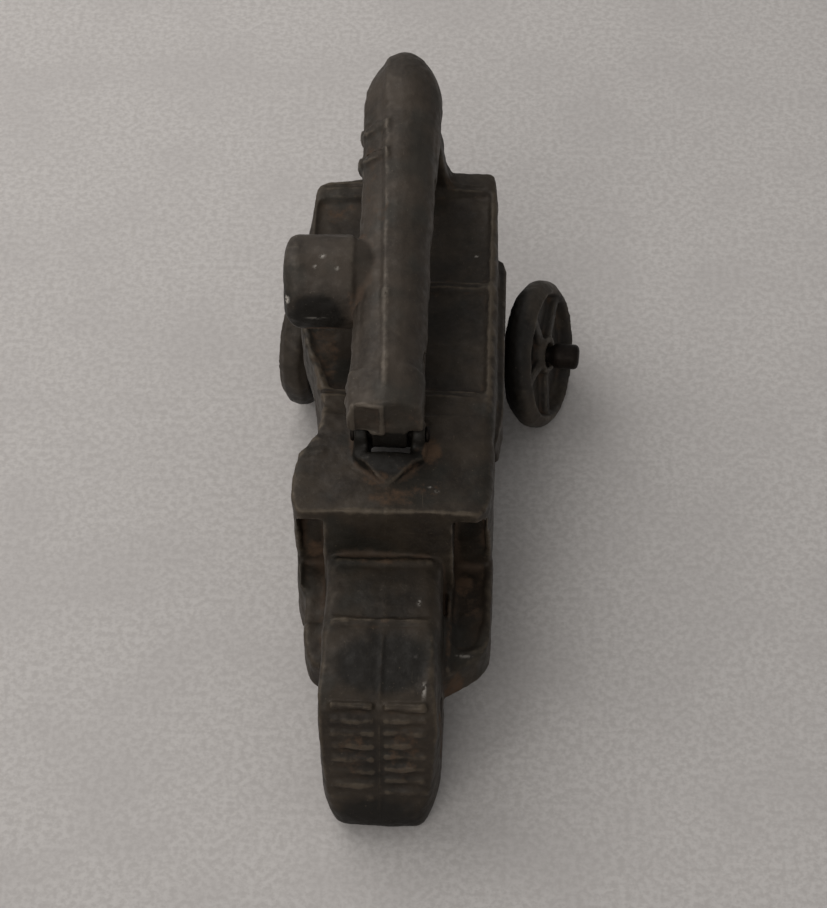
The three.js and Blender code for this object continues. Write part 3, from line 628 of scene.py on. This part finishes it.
def wheel_clay(side):
    """A spoked wheel, worn all round."""
    clay = Clay(side + "_wheel_casting", [side + "_wheel"], WHEEL_VOXEL)
    clay.settle(6)
    clay.relax(9)
    clay.grain(size=3, height=0.09, seed=WHEEL_SEEDS[side])
    clay.grain(size=0.9, height=0.03, seed=7)
    clay.keep_inside()
    return clay


# Where dust has settled, bare metal shows, edges are rubbed, some with a painted highlight, and painted
# shade and a darker tone lie, as rows of (centre, radius along each axis, strength), in millimetres.
BODY_DUST = [
    ((4.9, 33.8, 28), (2.2, 3.6, 2), 1.0),
    ((2.2, 30.6, 28), (2.4, 2.2, 1.6), 0.8),
    ((-1.6, 29.2, 28), (2.8, 1.7, 1.5), 0.75),
    ((0.4, 26.6, 27.7), (4.4, 2.2, 1.2), 0.8),
    ((5.5, 27.6, 27.7), (6, 3, 1.2), 0.45),
    ((-8.8, 27.6, 15), (2.6, 3.4, 3.2), 1.0),
    ((-8.4, 23, 13.2), (2.2, 4.2, 1.5), 0.7),
    ((8.9, 26, 13), (1.8, 3.2, 1.5), 1.0),
    ((10, 22.5, 13), (2.4, 3.2, 1.4), 0.65),
    ((7.3, 18.5, 13.4), (0.8, 7.5, 1.5), 0.8),
    ((7.9, 13.2, 10), (2.4, 3.2, 4), 0.95),
    ((6.8, 6, 11), (1.2, 4.5, 9.5), 0.7),
    ((2.8, 1.5, 12), (3, 3.6, 7), 0.6),
    ((-3, 1.5, 12), (3.2, 3.6, 7), 0.5),
    ((0, 23, 20.8), (6.5, 1.1, 1.2), 0.7),
    ((0, 14.1, 20.4), (6, 0.8, 0.8), 0.4),
    ((-8.6, 50, 26.6), (3, 8, 1.2), 0.7),
    ((-8.4, 76, 26.6), (3.6, 4.2, 1.2), 0.55),
    ((6.2, 80.4, 28.4), (2, 2.4, 3.4), 0.7),
]
BODY_CHIPS = [
    ((4.0, 17.2, 20.2), (0.3, 0.8, 0.7), 0.5),
    ((3.9, 9.6, 20.1), (0.3, 1.0, 0.7), 0.45),
    ((5.8, 27.8, 27.7), (0.5, 0.35, 0.6), 0.6),
    ((4.9, 28.3, 27.7), (0.35, 0.3, 0.6), 0.5),
    ((9.4, 68.2, 26.5), (0.25, 0.25, 0.5), 0.5),
    ((9.3, 14.9, 13.1), (1.3, 0.3, 0.5), 0.35),
    ((5.0, 5.2, 18.6), (0.35, 1.6, 2), 0.4),
]
BOOM_DUST = [
    ((-5.0, 49.6, 36), (1.5, 2, 3.6), 1.0),
    ((-8.5, 49.4, 31.6), (5, 1.6, 1.2), 0.85),
    ((-3.2, 66, 41), (2.4, 15, 5), 0.45),
    ((-1.6, 60, 41), (1.6, 3, 3), 0.5),
    ((3.2, 34, 34), (2, 3, 3), 0.4),
]
BOOM_CHIPS = [
    ((-12.9, 49, 37), (0.6, 0.6, 0.75), 1.0),
    ((-9.4, 48.4, 34.6), (1.6, 0.8, 0.22), 0.3),
    ((-8.6, 52.7, 40.8), (0.5, 0.35, 0.7), 0.5),
    ((-9.4, 51.4, 40.4), (0.35, 0.3, 0.6), 0.4),
    ((-6.8, 51.2, 40.2), (0.3, 0.3, 0.6), 0.35),
    ((-0.75, 30.4, 37.1), (0.35, 1.7, 0.7), 0.4),
    ((4.3, 36.9, 35), (0.35, 0.9, 0.9), 0.35),
]
WHEEL_DUST = [
    ((17.6, 66, 3.6), (3, 4, 3.2), 0.85),
    ((18.4, 66.8, 12), (2, 4, 4), 0.35),
]
# Rubbed wear on the grille, and painted highlights along the roof's front edge, the deck's two rims and the
# right pod's rim.
BODY_RUB_AND_HIGHLIGHT = [
    ((0, 1.2, 12), (6.4, 4, 8.5), 1.5),
    ((0, 24.2, 27.5), (11, 1, 1), 0.8),
    ((11.6, 60, 27), (1, 22, 1.2), 0.8),
    ((-8.4, 44, 27), (2.4, 14, 1.4), 0.8),
    ((7.3, 18, 13.8), (0.8, 8, 1), 0.8),
]
BOOM_RUB = [
    ((-1.2, 66, 43), (0.9, 24, 9), 0.1),
    ((-2.5, 33.2, 33.6), (3.6, 3, 4.6), 2.0),
]
# Painted shade on the chin and grille, under the boom's breech and in the right cab corner, painted shade
# and a darker tone on the hood, and a darker tone on the deck.
BODY_SHADE_AND_TONE = [
    ((0, 1, 12), (7, 3.5, 9), 0.45),
    ((0, 0.5, 2.6), (8.5, 6, 5), 1.0),
    ((0, 8.5, 20), (8, 6.5, 3), 0.9),
    ((0.5, 18, 20.4), (8, 7, 2), 0.45),
    ((6.5, 60, 26.5), (7, 26, 1.6), 0.4),
    ((0, 31.5, 29), (5.5, 3.5, 2.4), 0.8),
    ((0, 33.4, 29.3), (8.5, 5, 3.6), 1.5),
    ((9.6, 26.5, 20), (2.6, 4, 7), 1.0),
]
# Painted shade on the side of the right wheel's tyre that faces the body.
RIGHT_WHEEL_PAINTED_SHADE = [
    ((14.0, 68.4, 9.6), (4.4, 14, 14), 1.9),
]
# Painted shade under the drum and under the breech.
BOOM_PAINTED_SHADE = [
    ((-9.4, 48.8, 34.6), (5, 2.6, 4.6), 1.1),
    ((-12.6, 50.2, 35), (1.4, 3, 5), 0.8),
    ((0, 33.8, 29.6), (7, 3.2, 2.2), 1.4),
]
# The shade marks hold painted shade and a darker tone; the rub marks hold rubbed wear and painted
# highlights.
MARKS = {
    "body": {"dust": BODY_DUST, "chip": BODY_CHIPS, "rub_and_highlight": BODY_RUB_AND_HIGHLIGHT, "shade_and_tone": BODY_SHADE_AND_TONE},
    "boom": {"dust": BOOM_DUST, "chip": BOOM_CHIPS, "rub_and_highlight": BOOM_RUB, "shade_and_tone": BOOM_PAINTED_SHADE},
    "left_wheel": {"dust": WHEEL_DUST},
    "right_wheel": {"dust": WHEEL_DUST, "shade_and_tone": RIGHT_WHEEL_PAINTED_SHADE},
}


# ---------------------------------------------------------------- turned pieces: axle, pin and rivets

# (place along the axis, radius) in millimetres. The right end is long, and both are worn round.
AXLE_ROWS = [
    (-15.42, 0.7), (-15.3, 1.2), (-15.05, 1.5), (-14.8, 1.6), (-14.72, 0.95), (-8, 0.88), (0, 0.88),
    (10, 0.88), (18.9, 0.9), (19.3, 1.05), (19.7, 1.45), (20, 1.6), (20.5, 1.64), (21.1, 1.6),
    (21.8, 1.62), (22.4, 1.63), (22.7, 1.52), (22.9, 1.3), (23.02, 0.9),
]


def turned_piece(name, centre, axis, rows, unevenness=0.04):
    """A round piece along an axis, with its rings a little uneven."""
    turn = axis.to_track_quat("Z", "Y").to_matrix()
    mesh = bmesh.new()
    rings = []
    for along, radius in rows:
        ring = []
        for index in range(TURNED_SEGMENTS):
            angle = 2 * math.pi * index / TURNED_SEGMENTS
            out = turn @ Vector((math.cos(angle), math.sin(angle), 0))
            place = centre + (axis * along + out * radius) * MM
            shake = noise.noise(place / MM * 0.9) * unevenness
            ring.append(mesh.verts.new(place + out * shake * MM))
        rings.append(ring)
    for low, high in zip(rings[:-1], rings[1:]):
        for index in range(TURNED_SEGMENTS):
            other = (index + 1) % TURNED_SEGMENTS
            mesh.faces.new((low[index], low[other], high[other], high[index]))
    mesh.faces.new(reversed(rings[0]))
    mesh.faces.new(rings[-1])
    for face in mesh.faces:
        face.smooth = len(face.verts) == 4
    data = bpy.data.meshes.new(name)
    mesh.to_mesh(data)
    mesh.free()
    return new_object(name, data)


def headed_rows(reach, shank, head, dome):
    """The rings of a rivet whose two ends are hammered into low domes."""
    end = [
        (reach - head * 0.55, shank),
        (reach - 0.3, head * 0.92),
        (reach - 0.1, head),
        (reach + dome * 0.5, head * 0.86),
        (reach + dome, head * 0.4),
    ]
    return [(-along, radius) for along, radius in reversed(end)] + end


def rivet(node, head, dome=RIVET_DOME, inset=0.0):
    """A cross rivet in place of its CAD node, with heads of a given radius and dome height."""
    low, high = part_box(node)
    reach = (high.x - low.x) / 2 / MM - dome - inset
    rows = headed_rows(reach, head * SHANK_SHARE, head, dome)
    return turned_piece(node + "_hammered", (low + high) / 2, Vector((1, 0, 0)), rows)


# ---------------------------------------------------------------- materials


def srgb(red, green, blue):
    """A linear colour from screen values up to 255."""

    def linear(value):
        value /= 255
        return value / 12.92 if value <= 0.04045 else ((value + 0.055) / 1.055) ** 2.4

    return (linear(red), linear(green), linear(blue), 1)


SHIFT_SHARES = (1, 0.7, 1.3)  # how a shift moves a texture along x, y and z


class Finish:
    """A procedural material, with small makers for the nodes that it needs."""

    def __init__(self, name, metallic):
        self.material = bpy.data.materials.new(name)
        self.material.use_nodes = True
        self.tree = self.material.node_tree
        self.shader = self.tree.nodes["Principled BSDF"]
        self.shader.inputs["Metallic"].default_value = metallic
        self.shader.inputs["Specular IOR Level"].default_value = 0.3
        coordinates = self.tree.nodes.new("ShaderNodeTexCoord")
        self.place = coordinates.outputs["Object"]

    def node(self, kind, **settings):
        made = self.tree.nodes.new(kind)
        for key, value in settings.items():
            setattr(made, key, value)
        return made

    def feed(self, socket, value):
        if isinstance(value, bpy.types.NodeSocket):
            self.tree.links.new(value, socket)
        else:
            socket.default_value = value

    def stretched(self, size, shift=0):
        """Coordinates in units of size, in millimetres along x, y and z."""
        mapping = self.node("ShaderNodeMapping")
        self.feed(mapping.inputs["Vector"], self.place)
        sizes = size if isinstance(size, tuple) else (size, size, size)
        mapping.inputs["Scale"].default_value = [1 / (MM * s) for s in sizes]
        mapping.inputs["Location"].default_value = [shift * share for share in SHIFT_SHARES]
        return mapping.outputs["Vector"]

    def noise(self, size, detail=3, shift=0, roughness=0.55, distortion=0):
        """A soft noise of a given size in millimetres, or of one size for each axis."""
        texture = self.node("ShaderNodeTexNoise")
        self.feed(texture.inputs["Vector"], self.stretched(size, shift))
        texture.inputs["Scale"].default_value = 1
        texture.inputs["Detail"].default_value = detail
        texture.inputs["Roughness"].default_value = roughness
        texture.inputs["Distortion"].default_value = distortion
        return texture.outputs["Fac"]

    def pits(self, size, shift=0):
        """Round casting pits of a given size in millimetres."""
        texture = self.node("ShaderNodeTexVoronoi")
        self.feed(texture.inputs["Vector"], self.stretched(size, shift))
        texture.inputs["Scale"].default_value = 1
        return texture.outputs["Distance"]

    def noted(self, label):
        """A value that was stored per vertex."""
        return self.node("ShaderNodeAttribute", attribute_name=label).outputs["Fac"]

    def maths(self, operation, a, b=0.0, clamp=False):
        step = self.node("ShaderNodeMath", operation=operation, use_clamp=clamp)
        self.feed(step.inputs[0], a)
        self.feed(step.inputs[1], b)
        return step.outputs[0]

    def total(self, *terms):
        """The sum of several (value, factor) pairs."""
        products = [self.maths("MULTIPLY", value, factor) for value, factor in terms]
        result = products[0]
        for product in products[1:]:
            result = self.maths("ADD", result, product)
        return result

    def span(self, value, low, high, start=0.0, end=1.0):
        """Turns low..high into start..end, smoothly and clamped."""
        step = self.node("ShaderNodeMapRange", interpolation_type="SMOOTHSTEP")
        for socket, given in zip(step.inputs, (value, low, high, start, end)):
            self.feed(socket, given)
        return step.outputs[0]

    def mix(self, share, a, b):
        """Colour a where the share is 0, colour b where it is 1."""
        step = self.node("ShaderNodeMix", data_type="RGBA")
        self.feed(step.inputs["Factor"], share)
        self.feed(step.inputs[6], a)
        self.feed(step.inputs[7], b)
        return step.outputs[2]

    def bump(self, height, strength, distance):
        step = self.node("ShaderNodeBump")
        step.inputs["Strength"].default_value = strength
        step.inputs["Distance"].default_value = distance * MM
        self.feed(step.inputs["Height"], height)
        self.feed(self.shader.inputs["Normal"], step.outputs["Normal"])


BARE_METAL = srgb(205, 200, 192)
# The colour of painted shade and of a darker tone.
SHADE_AND_DARK_TONE = srgb(24, 22, 19)
BODY_LOOK = dict(
    dark=srgb(43, 37, 31), light=srgb(60, 52, 43), cool=srgb(39, 40, 36), worn=srgb(104, 93, 79),
    dirt=srgb(97, 77, 61),
)
BOOM_LOOK = dict(
    dark=srgb(57, 51, 45), light=srgb(75, 67, 59), cool=srgb(56, 56, 52), worn=srgb(114, 105, 94),
    dirt=srgb(100, 80, 65),
)
WHEEL_LOOK = dict(
    dark=srgb(50, 45, 39), light=srgb(70, 63, 55), cool=srgb(42, 44, 46), worn=srgb(110, 101, 88),
    dirt=srgb(96, 74, 58),
)
STEEL_LOOK = dict(
    dark=srgb(24, 19, 16), light=srgb(38, 31, 26), cool=srgb(26, 24, 22), worn=srgb(80, 74, 66),
    dirt=srgb(60, 46, 36),
)


def mottled_skin(look, shift, dark, light, cool):
    """Dull metal: broad blotches, fine flecks and some cooler patches."""
    skin = look.mix(look.span(look.noise(5.5, 4, shift), 0.35, 0.65), dark, light)
    flecks = look.noise(0.6, 4, shift + 3, 0.7)
    skin = look.mix(look.span(flecks, 0.42, 0.68, 0.0, 0.55), skin, light)
    return look.mix(look.span(look.noise(7, 2, shift + 5), 0.5, 0.66, 0.0, 0.5), skin, cool)


def rub_and_highlight_share(look, shift, wear):
    """Where the metal is lighter: edges and ridges rubbed by hands, and the noted places, in patches, some
    of them painted highlights on rounded edges.
    """
    edge = look.noted("edge")
    rubbed_and_highlit = look.total(
        (edge, 0.7),
        (look.noted("relief"), 0.3),
        (look.noise(2.6, 4, shift + 7, 0.65), 1.1),
        (look.noted("rub_and_highlight"), edge),
        (look.noise(0.9, 3, shift + 9), 0.9),
    )
    return look.span(rubbed_and_highlit, 1.2, 2.1, 0.0, wear)


def shade_and_tone_share(look, shift):
    """Where painted shade and a darker tone lie, less on the edges."""
    off_edges = look.maths("SUBTRACT", 1.1, look.maths("MULTIPLY", look.noted("edge"), 0.5))
    shaded_and_toned = look.total(
        (look.noted("shade_and_tone"), off_edges),
        (look.noise(2.6, 4, shift + 41, 0.6), 0.8),
    )
    return look.span(shaded_and_toned, 0.5, 1.3, 0.0, 0.9)


def scratch_share(look, shift):
    """Thin scratches along and across the toy."""
    along = look.noise((0.35, 5.0, 0.35), 2, shift + 11, 0.6, 0.4)
    across = look.noise((4.0, 0.3, 0.4), 2, shift + 13, 0.6, 0.4)
    return look.maths("MAXIMUM", look.span(along, 0.71, 0.78), look.span(across, 0.72, 0.79))


def dirt_share(look, shift, grime):
    """Brown dirt in hollows and sheltered corners, and dust where it is noted."""
    hollow = look.total(
        (look.noted("relief"), -0.6),
        (look.noted("edge"), -0.25),
        (look.noted("shelter"), 0.4),
        (look.noise(2.4, 5, shift + 17, 0.65), 1.1),
    )
    settled = look.total(
        (look.noted("dust"), 0.65),
        (look.noise(1.7, 6, shift + 31, 0.75), 1.5),
    )
    return look.maths(
        "MAXIMUM",
        look.span(hollow, 0.85, 1.35, 0.0, grime),
        look.span(settled, 1.02, 1.5, 0.0, 0.85),
    )


def worn_metal(name, shift, dark, light, cool, worn, dirt, metallic=0.25, wear=0.5, grime=0.4):
    """Old cast metal: mottled dull skin, rubbed edges with painted highlights on some, painted shade with a
    darker tone, settled brown dust and a few bare chips.
    """
    look = Finish(name, metallic)
    rubbed_and_highlit = rub_and_highlight_share(look, shift, wear)
    scratch = scratch_share(look, shift)
    dirty = dirt_share(look, shift, grime)
    specks = look.span(look.noise(0.3, 2, shift + 43), 0.68, 0.76, 0.0, 0.45)
    flaked = look.span(look.noise(0.4, 3, shift + 37), 0.4, 0.55)

    skin = mottled_skin(look, shift, dark, light, cool)
    # Rubbed edges, with painted highlights on some rims.
    skin = look.mix(rubbed_and_highlit, skin, worn)
    # Painted shade and a darker tone.
    skin = look.mix(shade_and_tone_share(look, shift), skin, SHADE_AND_DARK_TONE)
    skin = look.mix(specks, skin, worn)
    skin = look.mix(look.maths("MULTIPLY", scratch, 0.25), skin, worn)
    skin = look.mix(dirty, skin, dirt)
    skin = look.mix(look.maths("MULTIPLY", look.noted("chip"), flaked), skin, BARE_METAL)
    look.feed(look.shader.inputs["Base Color"], skin)

    rough = look.span(look.noise(1.1, 4, shift + 19), 0.3, 0.7, 0.46, 0.64)
    rough = look.maths("ADD", rough, look.maths("MULTIPLY", dirty, 0.4))
    rough = look.maths("SUBTRACT", rough, look.maths("MULTIPLY", rubbed_and_highlit, 0.12), clamp=True)
    look.feed(look.shader.inputs["Roughness"], rough)

    height = look.total(
        (look.noise(0.35, 5, shift + 23, 0.6), 1.0),
        (dirty, 0.5),
        (scratch, -0.3),
        (look.pits(0.9, shift + 29), 0.5),
    )
    look.bump(height, strength=0.5, distance=0.07)
    return look.material


# ---------------------------------------------------------------- building

HALVES = {-1: "left", 1: "right"}


def hand_over(piece, material, body, node):
    """Gives a piece its material, and lets it move with a body in place of a CAD node."""
    piece.data.materials.append(material)
    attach(piece, body)
    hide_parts(node)


def all_clays():
    """Every casting, by the name of the body that it belongs to."""
    return {
        "body": body_clay(),
        "boom": boom_clay(),
        "left_wheel": wheel_clay("left"),
        "right_wheel": wheel_clay("right"),
    }


def note_all_wear(clays):
    """Notes the wear of every casting, with all of them giving shelter."""
    whole = bmesh.new()
    for clay in clays.values():
        clay.store()
        whole.from_mesh(clay.mesh)
    tree = BVHTree.FromBMesh(whole)
    whole.free()
    for body, clay in clays.items():
        note_wear(clay, tree, MARKS[body])


def build_castings():
    """Body and boom as two halves each, and both wheels."""
    clays = all_clays()
    note_all_wear(clays)
    looks = {
        "body": worn_metal("body_cast_metal", 0, **BODY_LOOK),
        "boom": worn_metal("boom_cast_metal", 40, **BOOM_LOOK),
    }
    for body, look in looks.items():
        for side, word in HALVES.items():
            piece = cut_half(clays[body], f"{body}_{word}_casting", side)
            hand_over(piece, look, body, f"{body}_{word}_half")
    look = worn_metal("wheel_cast_metal", 80, **WHEEL_LOOK)
    for wheel in ("left_wheel", "right_wheel"):
        hand_over(clays[wheel].object(), look, wheel, wheel)


def build_fastenings():
    """The axle, the boom's pin and the cross rivets."""
    steel = worn_metal("dark_steel", 120, metallic=0.6, wear=0.4, **STEEL_LOOK)
    rivet_metal = worn_metal("rivet_metal", 160, metallic=0.4, **BODY_LOOK)
    axis = Vector((math.cos(AXLE_YAW), -math.sin(AXLE_YAW), 0))
    axle = turned_piece("worn_axle", at(*AXLE_CENTRE), axis, AXLE_ROWS)
    hand_over(axle, steel, "axle", "rear_axle")
    for node in ("nose_rivet", "cab_rivet", "deck_rivet"):
        hand_over(rivet(node, BODY_RIVET_HEAD), rivet_metal, "body", node)
    pin = rivet("boom_pivot_pin", PIN_HEAD, PIN_DOME, PIN_INSET)
    hand_over(pin, steel, "body", "boom_pivot_pin")
    for node in ("boom_rivet_front", "boom_rivet_rear"):
        hand_over(rivet(node, BOOM_RIVET_HEAD), rivet_metal, "boom", node)


# ---------------------------------------------------------------- stage, light and camera

LIGHTS_AIM = Vector((0, 0, 0.01))
PAPER_DARK = (0.57, 0.545, 0.53, 1)
PAPER_LIGHT = (0.68, 0.655, 0.64, 1)
PAPER_CLOUD = (0.55, 0.525, 0.515, 1)


def add_floor():
    """Pale paper with soft fibres and clouds."""
    mesh = bpy.data.meshes.new("floor")
    half = FLOOR_SIZE / 2
    corners = [(-half, -half, 0), (half, -half, 0), (half, half, 0), (-half, half, 0)]
    mesh.from_pydata(corners, [], [(0, 1, 2, 3)])
    floor = new_object("floor", mesh)
    look = Finish("pale_paper", 0)
    fibres = look.noise(0.8, 4, 200, 0.6)
    cloud = look.noise(14, 3, 210)
    pale = look.mix(look.span(fibres, 0.35, 0.65), PAPER_DARK, PAPER_LIGHT)
    pale = look.mix(look.span(cloud, 0.4, 0.7, 0.0, 0.4), pale, PAPER_CLOUD)
    look.feed(look.shader.inputs["Base Color"], pale)
    look.shader.inputs["Roughness"].default_value = 0.9
    look.bump(look.noise(0.5, 4, 220), strength=0.25, distance=0.1)
    mesh.materials.append(look.material)


def add_area_light(name, direction, distance, size, power, colour):
    """A round light that looks at the toy; distance and size are in metres, power in watts."""
    data = bpy.data.lights.new(name, "AREA")
    data.shape = "DISK"
    data.size = size
    data.energy = power
    data.color = colour
    light = new_object(name, data)
    towards = Vector(direction).normalized()
    light.location = LIGHTS_AIM + towards * distance
    light.rotation_euler = towards.to_track_quat("Z", "Y").to_euler()


def graded_room():
    """A dim, even room, a little paler above and behind the toy than in front of it."""
    world = bpy.data.worlds.new("room")
    world.use_nodes = True
    tree = world.node_tree
    direction = tree.nodes.new("ShaderNodeTexCoord").outputs["Generated"]
    tilt = tree.nodes.new("ShaderNodeVectorMath")
    tilt.operation = "DOT_PRODUCT"
    tilt.inputs[1].default_value = (-0.15, 0.55, 0.82)
    tree.links.new(direction, tilt.inputs[0])
    ramp = tree.nodes.new("ShaderNodeMapRange")
    ramp.inputs["From Min"].default_value = -0.2
    ramp.inputs["From Max"].default_value = 0.95
    ramp.inputs["To Min"].default_value = 0.2
    ramp.inputs["To Max"].default_value = 0.25
    tree.links.new(tilt.outputs["Value"], ramp.inputs["Value"])
    background = tree.nodes["Background"]
    background.inputs["Color"].default_value = (1.0, 0.985, 0.965, 1)
    tree.links.new(ramp.outputs["Result"], background.inputs["Strength"])
    return world


def add_lights():
    add_area_light(
        "overhead", direction=(-0.66, 0.56, 1.0), distance=0.38, size=0.38, power=0.62,
        colour=(1.0, 0.97, 0.94),
    )
    add_area_light(
        "front", direction=(-0.3, -0.95, 0.75), distance=0.75, size=0.6, power=1.65,
        colour=(1.0, 0.965, 0.93),
    )
    bpy.context.scene.world = graded_room()
    bpy.context.scene.view_settings.view_transform = "Standard"


def add_camera():
    """A long lens from in front of and above the nose, rolled a little."""
    data = bpy.data.cameras.new("camera")
    data.lens = CAMERA_LENS
    data.clip_start = 0.01
    data.clip_end = 10
    camera = new_object("camera", data)
    a, e = CAMERA_AZIMUTH, CAMERA_ELEVATION
    back = Vector((math.sin(a) * math.cos(e), -math.cos(a) * math.cos(e), math.sin(e)))
    right = Vector((math.cos(a), math.sin(a), 0))
    up = Vector((-math.sin(a) * math.sin(e), math.cos(a) * math.sin(e), math.cos(e)))
    rolled_right = right * math.cos(CAMERA_ROLL) - up * math.sin(CAMERA_ROLL)
    rolled_up = right * math.sin(CAMERA_ROLL) + up * math.cos(CAMERA_ROLL)
    turn = Matrix((rolled_right, rolled_up, back)).transposed().to_4x4()
    camera.matrix_world = Matrix.Translation(at(*CAMERA_TARGET) + back * CAMERA_DISTANCE) @ turn
    bpy.context.scene.camera = camera


add_camera()
build_castings()
build_fastenings()
add_floor()
add_lights()
